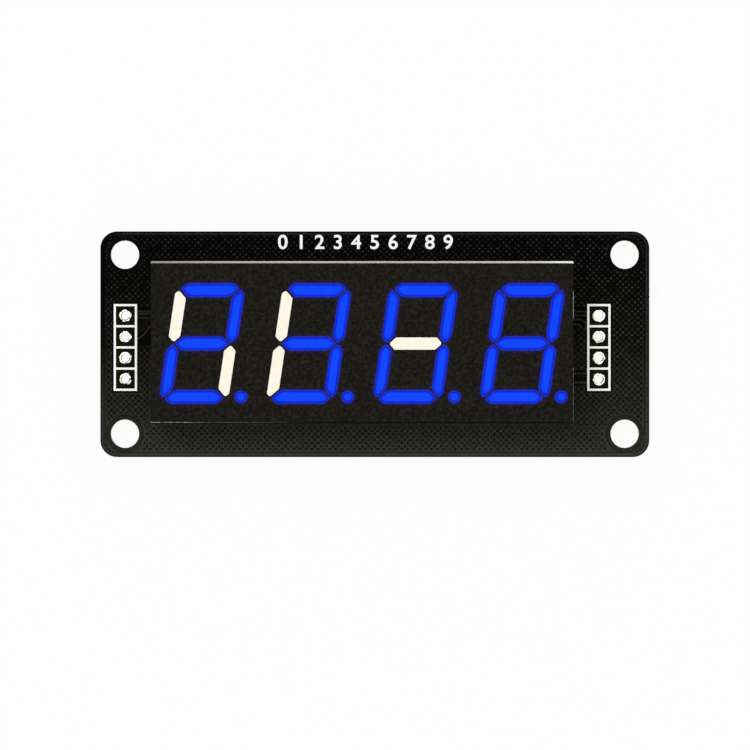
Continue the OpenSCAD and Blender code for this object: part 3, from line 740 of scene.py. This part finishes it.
def hatched_pour(name, boxes, circles, paths, low_z, high_z):
    """Hatched copper under the mask, with a border line along its edge and round each clear zone."""
    shapes = [("pour", rounded_board(POUR_INSET)), ("inner", rounded_board(POUR_INSET + POUR_BORDER))]
    for zone in boxes:
        shapes += [("clear", rectangle(*zone)), ("border", rectangle(*grown(zone, POUR_BORDER)))]
    for centre, radius in circles:
        shapes += [("clear", circle(centre, radius)), ("border", circle(centre, radius + POUR_BORDER))]
    clear_w = TRACK_W + 2 * TRACK_GAP
    for path in paths:
        shapes += [("clear", track(path, clear_w)), ("border", track(path, clear_w + POUR_BORDER))]
    shapes += hatch_openings(boxes, circles)

    def is_solid(tags):
        if "pour" not in tags or "clear" in tags:
            return False
        return "opening" not in tags or "border" in tags or "inner" not in tags

    raised(name, shapes, is_solid, low_z, high_z, HATCH)


def track(points, width=TRACK_W):
    """The outline of a track along a path, square at its ends and sharp at its bends."""
    points = [Vector(p) for p in points]
    left, right = [], []
    for i, point in enumerate(points):
        before = (point - points[i - 1]).normalized() if i else (points[1] - point).normalized()
        after = (points[i + 1] - point).normalized() if i + 1 < len(points) else before
        side = Vector((-before.y - after.y, before.x + after.x))
        side *= width / 2 / (1 + before.dot(after))
        left.append(tuple(point + side))
        right.append(tuple(point - side))
    return right + left[::-1]


def front_tracks(paths):
    """Fine tracks under the mask, and the line along the board's edge."""
    shapes = [("copper", track(path, FINE_TRACK_W)) for path in paths]
    shapes.append(("line", rounded_board(EDGE_LINE_IN)))
    shapes.append(("inside", rounded_board(EDGE_LINE_IN + EDGE_LINE_W)))

    def is_solid(tags):
        return "copper" in tags or "line" in tags and "inside" not in tags

    raised("front_tracks", shapes, is_solid, FRONT_Z, FRONT_Z + RELIEF_T, TRACK)


def rear_tracks(paths, vias):
    """Tracks under the mask, and the tented vias on them."""
    shapes = [("copper", track(path)) for path in paths]
    shapes += [("copper", circle(via, VIA_R, VIA_SIDES)) for via in vias]
    raised("rear_tracks", shapes, is_copper, REAR_Z - RELIEF_T, REAR_Z, TRACK)


def screw_circles():
    return [((sx * SCREW_X, sy * SCREW_Y), SCREW_CLEARANCE_R) for sx in (-1, 1) for sy in (-1, 1)]


def header_zone(x):
    half = PITCH / 2 + HEADER_CLEAR
    return (x - half, HEADER_Y[-1] - half, x + half, HEADER_Y[0] + half)


def quarter_bend(start, end, count=6):
    """Points on a quarter circle that leaves start along X and arrives at end along Y."""
    (x0, y0), (x1, y1) = start, end
    points = []
    for i in range(count + 1):
        angle = math.pi / 2 * i / count
        points.append((x0 + (x1 - x0) * math.sin(angle), y0 + (y1 - y0) * (1 - math.cos(angle))))
    return points


# How far the hatching keeps off the header rows' cells and off the display, how far zones overlap,
# and how far tracks run under the housing and into a header row's zone
HEADER_CLEAR, DISPLAY_CLEAR, ZONE_OVERLAP = 0.35, 0.15, 0.1
UNDER_HOUSING, INTO_HEADER = 0.6, 0.4
# The lowest and highest Y of the zones without hatching between the display and the header rows
LEFT_GAP_Y, RIGHT_UPPER_Y, RIGHT_LOWER_Y = (-0.1, 4.45), (1.9, 4.45), (-5.0, -3.1)
# The straight tracks there, the bent one on the left, with its X off the header row's zone, and for
# each bent one on the right its bend's start, with that X, the bend's size and the track's end in Y
LEFT_STRAIGHT_Y, RIGHT_STRAIGHT_Y = (3.94, 3.62, 3.16), (3.93, 3.49, -3.51, -4.6)
LEFT_SWEEP = [(-0.3, 0.7), (0.05, 0.75), (0.45, 1.05), (0.9, 1.55), (1.4, 2.26), (1.9, 2.8)]
RIGHT_BENDS = [(-0.55, 2.95, 0.6, 1.7), (-1.0, 2.37, 0.55, 1.5)]
# The lowest and highest Y of the small solid fill on the left
FILL_Y = (1.1, 2.95)


def front_copper():
    """The front's pour, fine tracks and small solid fill."""
    left, right = header_zone(HEADER_X[0]), header_zone(HEADER_X[1])
    display = grown((HOUSING_LOW.x, HOUSING_LOW.y, HOUSING_HIGH.x, HOUSING_HIGH.y), DISPLAY_CLEAR)
    header_side, display_side = left[2] - ZONE_OVERLAP, HOUSING_LOW.x + ZONE_OVERLAP
    boxes = [left, right, display, (header_side, LEFT_GAP_Y[0], display_side, LEFT_GAP_Y[1])]
    for low_y, high_y in (RIGHT_UPPER_Y, RIGHT_LOWER_Y):
        boxes.append((HOUSING_HIGH.x - ZONE_OVERLAP, low_y, right[0] + ZONE_OVERLAP, high_y))
    hatched_pour("front_pour", boxes, screw_circles(), [], FRONT_Z, FRONT_Z + RELIEF_T)
    inside_left, inside_right = HOUSING_LOW.x + UNDER_HOUSING, HOUSING_HIGH.x - UNDER_HOUSING
    paths = [[(left[2] - INTO_HEADER, y), (inside_left, y)] for y in LEFT_STRAIGHT_Y]
    paths.append([(left[2] + x, y) for x, y in LEFT_SWEEP])
    for x, y, turn, end in RIGHT_BENDS:
        bend = quarter_bend((right[0] + x, y), (right[0] + x + turn, y - turn))
        paths.append([(inside_right, y), *bend, (bend[-1][0], end)])
    paths += [[(inside_right, y), (right[0] + INTO_HEADER, y)] for y in RIGHT_STRAIGHT_Y]
    front_tracks(paths)
    fill = [(header_side, FILL_Y[0]), (inside_left, FILL_Y[1]), (header_side, FILL_Y[1])]
    raised("front_fill", [("copper", fill)], is_copper, FRONT_Z, FRONT_Z + RELIEF_T, FILL)


# Leads of the driver chip whose tracks end at a display pin, and those whose tracks run on between
# two pins, with how far past the pins they go
PIN_LEADS = (0, 2, 4, 5, 7, 9)
PASSING_LEADS = ((1, 2.2), (3, 3.0), (6, 3.0), (8, 2.2))
# How far a track runs straight from a lead before its jog, and from a lead's foot before its bend
JOG_RUN, FOOT_RUN = 0.2, 0.4
# How far the rear's zones without hatching reach from the middle of the chip, the small parts and
# the bulk capacitor
CHIP_X, CHIP_Y = 7.65, 8.95
PARTS_X, PARTS_Y = 1.7, 1.35
BULK_HALF_X, BULK_HALF_Y = 2.4, 1.75
# How far a track overlaps a header pad, how far from it the track bends, and how far a small part's
# track runs to its via
PAD_OVERLAP, HEADER_RUN, VIA_RUN = 0.1, 2.4, 3.3


def pin_track(lead, pin_side, end):
    """A track from a lead of the driver chip, with one jog, to a pin or between two pins."""
    centre = (LEAD_COUNT - 1) / 2
    x = DISPLAY.x + (lead - centre) * LEAD_PITCH
    jog = math.copysign(LEAD_PITCH / 2, lead - centre)
    levels = [LEAD_REACH, LEAD_REACH + JOG_RUN, LEAD_REACH + JOG_RUN + abs(jog), end]
    places = [x, x, x + jog, x + jog]
    return [(place, DISPLAY.y + pin_side * level) for place, level in zip(places, levels)]


def rear_copper():
    """The rear's pour and tracks: chip to pins, small parts to the chip and to the header rows."""
    header_ends = [HEADER_X[0] + HEADER_PAD_R - PAD_OVERLAP, HEADER_X[1] - HEADER_PAD_R + PAD_OVERLAP]
    chip = (DISPLAY.x - CHIP_X, DISPLAY.y - CHIP_Y, DISPLAY.x + CHIP_X, DISPLAY.y + CHIP_Y)
    left_parts = (SMALL_X - PARTS_X, SMALL_Y[0] - PARTS_Y, SMALL_X + PARTS_X, SMALL_Y[-1] + PARTS_Y)
    right_parts = (BULK_X - BULK_HALF_X, BULK_Y - BULK_HALF_Y, BULK_X + BULK_HALF_X, BYPASS_Y + PARTS_Y)
    inner, vias, links = [], [], []
    for side in (1, -1):
        inner += [pin_track(lead, side, PIN_OFF) for lead in PIN_LEADS]
        passing = [pin_track(lead, side, PIN_OFF + reach) for lead, reach in PASSING_LEADS]
        links += passing
        vias += [path[-1] for path in passing]
    for part_y, hole_y in zip(reversed(SMALL_Y), HEADER_Y):
        start = (SMALL_X - SMALL_PAD_X, part_y)
        turn = header_ends[0] + HEADER_RUN
        bend = (turn + abs(part_y - hole_y), part_y)
        links.append([start, bend, (turn, hole_y), (header_ends[0], hole_y)])
    for part_y in (SMALL_Y[0], SMALL_Y[-1]):
        links.append([(SMALL_X + SMALL_PAD_X, part_y), (SMALL_X + VIA_RUN, part_y)])
        vias.append(links[-1][-1])
    right_ends = [(BULK_Y, HEADER_Y[2], BULK_PAD_X), (BYPASS_Y, HEADER_Y[1], SMALL_PAD_X)]
    for part_y, hole_y, pad_x in right_ends:
        turn = header_ends[1] - HEADER_RUN
        bend = (turn - abs(part_y - hole_y), part_y)
        links.append([(BULK_X + pad_x, part_y), bend, (turn, hole_y), (header_ends[1], hole_y)])
    under_chip = [
        (SMALL_X + SMALL_PAD_X, SMALL_Y[2], 3),
        (SMALL_X + SMALL_PAD_X, SMALL_Y[1], 3),
        (BULK_X - SMALL_PAD_X, BYPASS_Y, 6),
        (BULK_X - BULK_PAD_X, BULK_Y, 6),
    ]
    for start_x, part_y, lead in under_chip:
        lead_x = DISPLAY.x + (lead - (LEAD_COUNT - 1) / 2) * LEAD_PITCH
        end_y = DISPLAY.y + math.copysign(LEAD_FOOT_IN, part_y - DISPLAY.y)
        run = abs(end_y - part_y) - FOOT_RUN
        bend_x = lead_x + math.copysign(run, start_x - lead_x)
        rise = math.copysign(run, end_y - part_y)
        links.append([(start_x, part_y), (bend_x, part_y), (lead_x, part_y + rise), (lead_x, end_y)])
    boxes = [header_zone(HEADER_X[0]), header_zone(HEADER_X[1]), chip, left_parts, right_parts]
    circles = screw_circles() + [(via, VIA_R + TRACK_GAP) for via in vias]
    hatched_pour("rear_pour", boxes, circles, links, REAR_Z - RELIEF_T, REAR_Z)
    rear_tracks(inner + links, vias)


# The tin's dome over a hole's ring, as shares of the ring's width and of the dome's height
TIN_DOME = [(0.0, 0.0), (0.18, 0.5), (0.4, 0.9), (0.62, 1.0), (0.82, 0.75), (0.95, 0.35), (1.0, 0.0)]
TIN_ROWS = [(*row, 1) for row in reversed(TIN_DOME)] + [(*row, -1) for row in TIN_DOME]
# Its thickness on the hole's wall, how far its rim keeps inside the pad's, its height, and how much
# the last two vary round the ring
TIN_T, TIN_RIM_IN, TIN_H = 0.02, 0.03, 0.07
TIN_RIM_WAVE, TIN_H_WAVE = 0.03, 0.03
TIN_WAVES, TIN_AROUND = (1, 2, 3, 4), 48


def tinned_holes(name, x):
    """Tin over each header hole's rings and down its wall: domed, and uneven round the ring."""
    rng = random.Random(name)
    vertices, faces = [], []
    inner_r = HEADER_HOLE_R - TIN_T
    for y in HEADER_Y:
        waves = [(k, rng.uniform(0, 2 * math.pi), rng.uniform(0.2, 1.0)) for k in TIN_WAVES]
        start = len(vertices)
        for share, height, side in TIN_ROWS:
            level = FRONT_Z + PLATING_T if side > 0 else REAR_Z - PLATING_T
            for i in range(TIN_AROUND):
                angle = 2 * math.pi * i / TIN_AROUND
                wave = sum(size * math.cos(k * angle + turn) for k, turn, size in waves) / len(waves)
                outer_r = HEADER_PAD_R - TIN_RIM_IN + TIN_RIM_WAVE * wave
                radius = inner_r + (outer_r - inner_r) * share
                lift = height * (TIN_H + TIN_H_WAVE * wave)
                spot = (x + radius * math.cos(angle), y + radius * math.sin(angle))
                vertices.append((*spot, level + side * lift))
        for row in range(len(TIN_ROWS)):
            below = (row + 1) % len(TIN_ROWS)
            for i in range(TIN_AROUND):
                j = (i + 1) % TIN_AROUND
                a, b = start + row * TIN_AROUND + i, start + row * TIN_AROUND + j
                c, d = start + below * TIN_AROUND + j, start + below * TIN_AROUND + i
                faces.append([b, a, d, c])
    obj = piece(name, vertices, faces, TINNING)
    obj.data.polygons.foreach_set("use_smooth", [True] * len(obj.data.polygons))


# The printed row: its text, and its middle, height and length on the board
NUMERALS = "0 1 2 3 4 5 6 7 8 9"
NUMERALS_MIDDLE = (-1.13, 12.28)
NUMERAL_H = 1.76
NUMERALS_L = 21.0


def front_numerals():
    """A plain row of printed numerals above the display."""
    curve = bpy.data.curves.new("front_numerals_outline", "FONT")
    curve.body = NUMERALS
    curve.offset = 0.016
    curve.space_character = 1.12
    curve.extrude = 0.01
    outline = bpy.data.objects.new("front_numerals_outline", curve)
    bpy.context.scene.collection.objects.link(outline)
    bpy.context.view_layer.update()
    mesh = bpy.data.meshes.new_from_object(outline.evaluated_get(bpy.context.evaluated_depsgraph_get()))
    bpy.data.objects.remove(outline)
    low = Vector(map(min, *[v.co for v in mesh.vertices]))
    high = Vector(map(max, *[v.co for v in mesh.vertices]))
    centre, size = (low + high) / 2, high - low
    scale = Vector((NUMERALS_L / size.x, NUMERAL_H / size.y, PRINT_T / size.z))
    target = Vector((*NUMERALS_MIDDLE, FRONT_Z + RELIEF_T + PRINT_T / 2))
    for vertex in mesh.vertices:
        vertex.co = ((vertex.co - centre) * scale + target) * MM
    mesh.name = "front_numerals"
    mesh.materials.clear()
    mesh.materials.append(MATERIALS["print"])
    obj = bpy.data.objects.new("front_numerals", mesh)
    bpy.context.scene.collection.objects.link(obj)
    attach(obj, "root")


front_copper()
rear_copper()
tinned_holes("left_header_tinning", HEADER_X[0])
tinned_holes("right_header_tinning", HEADER_X[1])
front_numerals()


# The camera looks straight down, over the middle of the photograph's frame. Its height above the
# board, the width of what it sees at the board, and its place
CAMERA_D = 900.0
FRAME_W = 90.04
CAMERA_OFF = (0.02, -3.69)


def camera():
    data = bpy.data.cameras.new("camera")
    data.sensor_width = 36.0
    data.lens = data.sensor_width * CAMERA_D / FRAME_W
    data.clip_start, data.clip_end = 0.01, 10.0
    obj = bpy.data.objects.new("camera", data)
    obj.location = Vector((*CAMERA_OFF, FRONT_Z + CAMERA_D)) * MM
    bpy.context.scene.collection.objects.link(obj)
    bpy.context.scene.camera = obj


# Half the floor's side, and its share of white where it's seen as the background
FLOOR_HALF = 3000.0
FLOOR_SHOWN_WHITE = 0.95


def background_rays(tree):
    """1 for the rays that should see a white background: from the camera, off gloss and through glass."""
    path = tree.nodes.new("ShaderNodeLightPath")
    total = path.outputs["Is Camera Ray"]
    for name in ("Is Glossy Ray", "Is Transmission Ray"):
        larger = tree.nodes.new("ShaderNodeMath")
        larger.operation = "MAXIMUM"
        tree.links.new(total, larger.inputs[0])
        tree.links.new(path.outputs[name], larger.inputs[1])
        total = larger.outputs[0]
    return total


def floor():
    mesh = bpy.data.meshes.new("floor")
    corners = [(-1, -1), (1, -1), (1, 1), (-1, 1)]
    mesh.from_pydata([Vector((x, y, 0)) * FLOOR_HALF * MM for x, y in corners], [], [(0, 1, 2, 3)])
    material = bpy.data.materials.new("floor")
    material.use_nodes = True
    tree = material.node_tree
    shader = tree.nodes["Principled BSDF"]
    shader.inputs["Base Color"].default_value = srgb(250, 250, 250)
    shader.inputs["Roughness"].default_value = 1.0
    shader.inputs["Specular IOR Level"].default_value = 0.0
    shine = tree.nodes.new("ShaderNodeEmission")
    blend = tree.nodes.new("ShaderNodeMixShader")
    share = tree.nodes.new("ShaderNodeMath")
    share.operation = "MULTIPLY"
    share.inputs[1].default_value = FLOOR_SHOWN_WHITE
    tree.links.new(background_rays(tree), share.inputs[0])
    tree.links.new(share.outputs[0], blend.inputs[0])
    tree.links.new(shader.outputs[0], blend.inputs[1])
    tree.links.new(shine.outputs[0], blend.inputs[2])
    tree.links.new(blend.outputs[0], tree.nodes["Material Output"].inputs["Surface"])
    mesh.materials.append(material)
    obj = bpy.data.objects.new("floor", mesh)
    bpy.context.scene.collection.objects.link(obj)


# The strength of the world's light on the object
WORLD_LEVEL = 0.58


def world():
    data = bpy.data.worlds.new("world")
    bpy.context.scene.world = data
    data.use_nodes = True
    tree = data.node_tree
    background = tree.nodes["Background"]
    background.inputs["Color"].default_value = (1, 1, 1, 1)
    level = tree.nodes.new("ShaderNodeMapRange")
    level.inputs["To Min"].default_value = WORLD_LEVEL
    level.inputs["To Max"].default_value = 1.0
    tree.links.new(background_rays(tree), level.inputs["Value"])
    tree.links.new(level.outputs[0], background.inputs["Strength"])


# The side of the two soft lights, and their places and powers
SOFTBOX_SIDE = 600
SOFTBOXES = {"key_light": ((-420, 420, 1250), 7.3), "fill_light": ((450, -350, 1250), 2.7)}


def softbox(name, place, power):
    data = bpy.data.lights.new(name, "AREA")
    data.shape = "SQUARE"
    data.size = SOFTBOX_SIDE * MM
    data.energy = power
    obj = bpy.data.objects.new(name, data)
    obj.location = Vector(place) * MM
    obj.rotation_euler = (-obj.location).to_track_quat("-Z", "Y").to_euler()
    bpy.context.scene.collection.objects.link(obj)


camera()
floor()
world()
for light_name, (light_place, light_power) in SOFTBOXES.items():
    softbox(light_name, light_place, light_power)
bpy.context.scene.view_settings.view_transform = "Standard"
